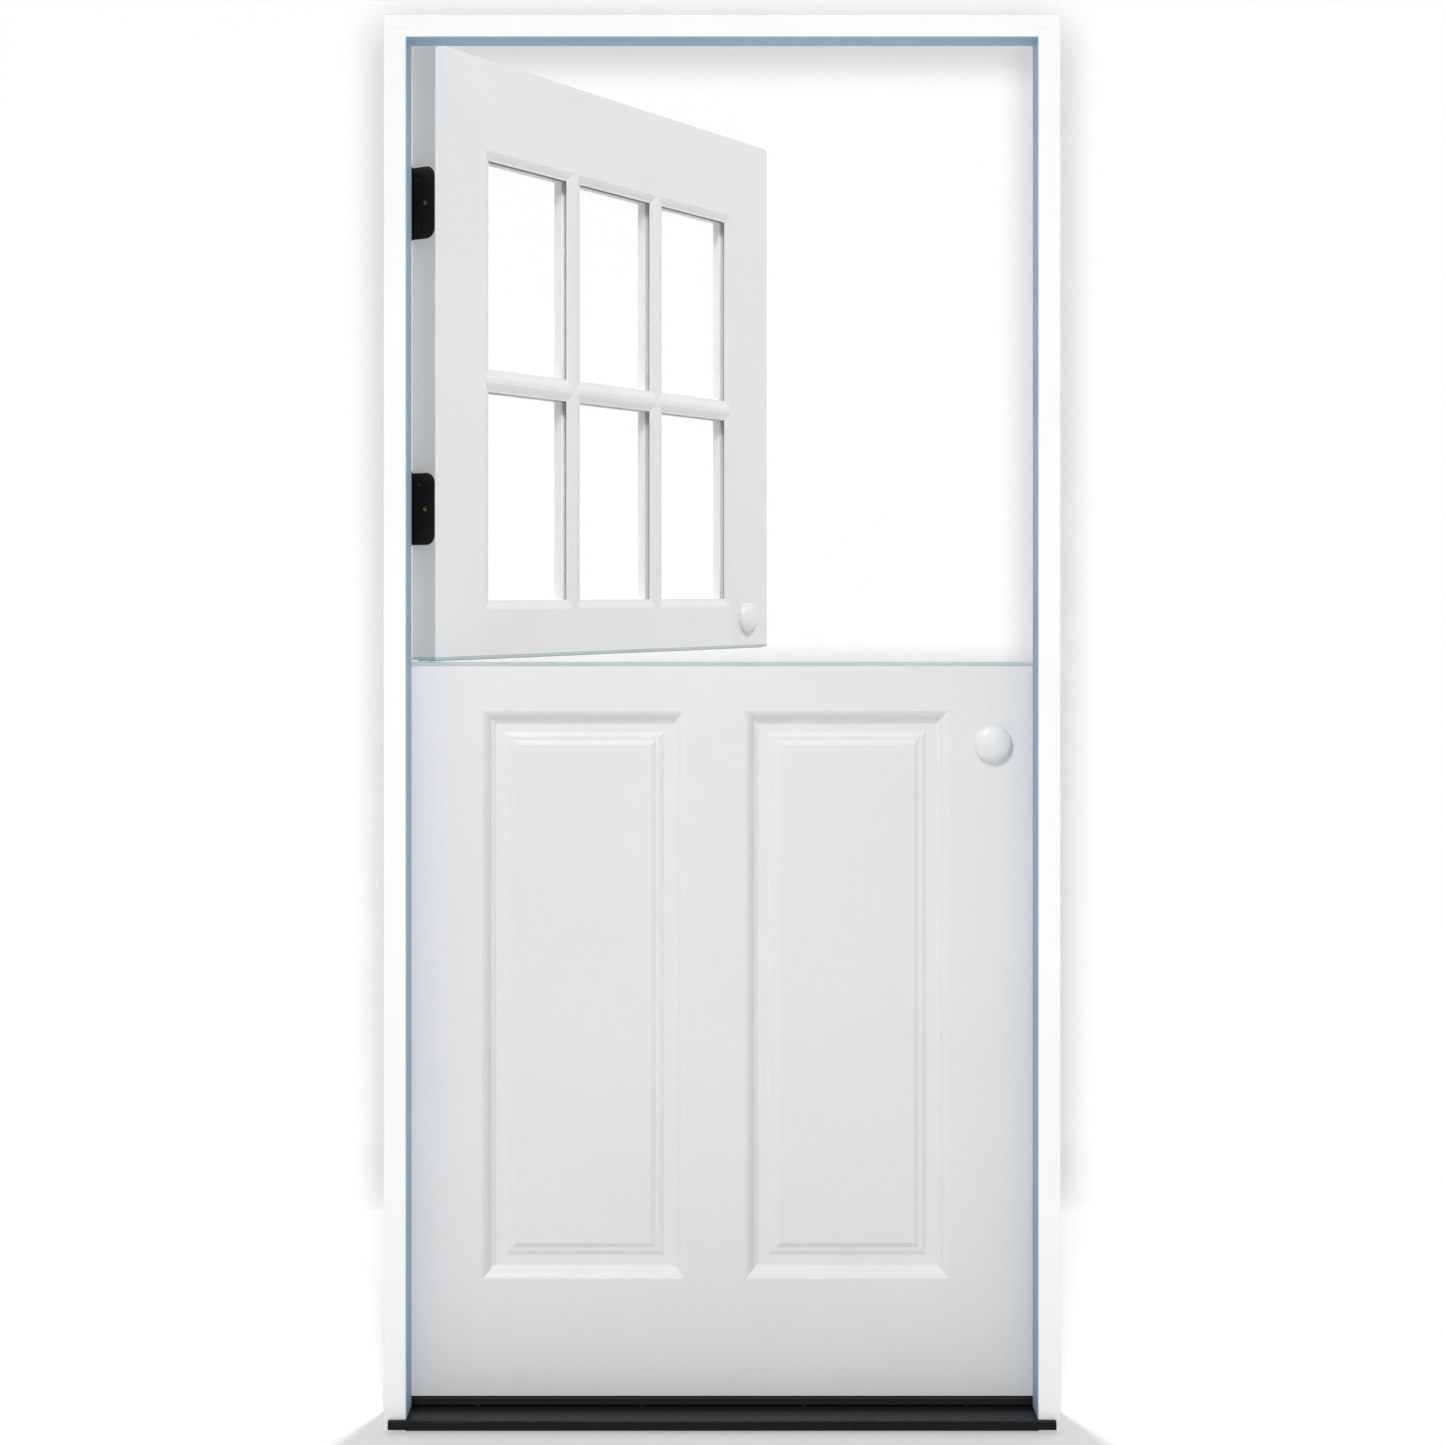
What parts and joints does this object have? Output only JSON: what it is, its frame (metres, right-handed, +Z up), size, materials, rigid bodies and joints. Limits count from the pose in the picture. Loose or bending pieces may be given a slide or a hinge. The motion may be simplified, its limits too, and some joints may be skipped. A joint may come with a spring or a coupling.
{
  "type": "dutch stable door",
  "caption": "Dutch stable door in a rebated white frame: a glazed upper leaf standing open above a closed lower leaf with raised panels, hung on black butt hinges.",
  "frame": {"origin": "middle of the frame's width, in its exterior front plane, at the underside of the sill", "axes": "+X to the right seen from outside, towards the latch side; +Y inward through the frame, the way the leaves open; +Z up"},
  "size_m": [0.975, 0.8976, 2.0402],
  "materials": {
    "frame_primer": "smooth white factory primer over wood",
    "leaf_primer": "smooth pale grey-white primer over wood",
    "clear_glass": "clear, insulated unit",
    "weatherstrip": "matt steel-blue vinyl",
    "meeting_strip": "matt pale grey vinyl",
    "black_vinyl": "matt black vinyl",
    "bore_cap": "satin white moulded cap",
    "black_hardware": "black powder coat",
    "brass_screws": "bright brass",
    "zinc_screws": "zinc plated",
    "sill_substrate": "black moulded composite",
    "dark_aluminium": "dark anodised, mill lines along its length",
    "sill_cap_finish": "dark bronze anodised"
  },
  "bodies": {
    "frame": {"head_jamb": "frame_primer", "hinge_jamb": "frame_primer", "latch_jamb": "frame_primer", "sill_base": "sill_substrate", "sill_tread": "dark_aluminium", "sill_cap": "sill_cap_finish", "sill_adjusters": "zinc_screws", "frame_screws": "zinc_screws", "sill_screws": "zinc_screws", "weatherstrip_hinge_side": "weatherstrip", "weatherstrip_latch_side": "weatherstrip", "weatherstrip_head": "weatherstrip", "jamb_hinge_plate_1": "black_hardware", "jamb_hinge_plate_2": "black_hardware", "jamb_hinge_plate_3": "black_hardware", "jamb_hinge_plate_4": "black_hardware", "hinge_pin_1": "black_hardware", "hinge_pin_2": "black_hardware", "hinge_pin_3": "black_hardware", "hinge_pin_4": "black_hardware", "jamb_hinge_screws": "black_hardware"},
    "upper_leaf": {"upper_hinge_stile": "leaf_primer", "upper_lock_stile": "leaf_primer", "upper_top_rail": "leaf_primer", "upper_meeting_rail": "leaf_primer", "upright_bar_1": "leaf_primer", "upright_bar_2": "leaf_primer", "cross_bar_1": "leaf_primer", "cross_bar_2": "leaf_primer", "cross_bar_3": "leaf_primer", "pane_1": "clear_glass", "pane_2": "clear_glass", "pane_3": "clear_glass", "pane_4": "clear_glass", "pane_5": "clear_glass", "pane_6": "clear_glass", "glazing_beads": "leaf_primer", "upper_bottom_seal": "meeting_strip", "upper_bore_cap": "bore_cap", "upper_hinge_plate_1": "black_hardware", "upper_hinge_plate_2": "black_hardware", "upper_hinge_screws": "black_hardware", "upper_brass_screws": "brass_screws"},
    "lower_leaf": {"lower_hinge_stile": "leaf_primer", "lower_lock_stile": "leaf_primer", "lower_top_rail": "leaf_primer", "lower_bottom_rail": "leaf_primer", "lower_mullion": "leaf_primer", "raised_panel_left": "leaf_primer", "raised_panel_right": "leaf_primer", "lower_top_strip": "meeting_strip", "lower_bottom_sweep": "black_vinyl", "lower_bore_cap": "bore_cap", "lower_hinge_plate_1": "black_hardware", "lower_hinge_plate_2": "black_hardware", "lower_hinge_screws": "black_hardware", "lower_brass_screws": "brass_screws"}
  },
  "joints": [
    {"name": "upper_leaf_swing", "type": "hinge", "parent": "frame", "child": "upper_leaf", "pos_m": [-0.4676, 0.10795, 1.558], "axis": [0, 0, 1], "range_deg": [-57.15, 105]},
    {"name": "lower_leaf_swing", "type": "hinge", "parent": "frame", "child": "lower_leaf", "pos_m": [-0.4676, 0.10795, 0.58], "axis": [0, 0, 1], "range_deg": [0, 162.15]}
  ]
}
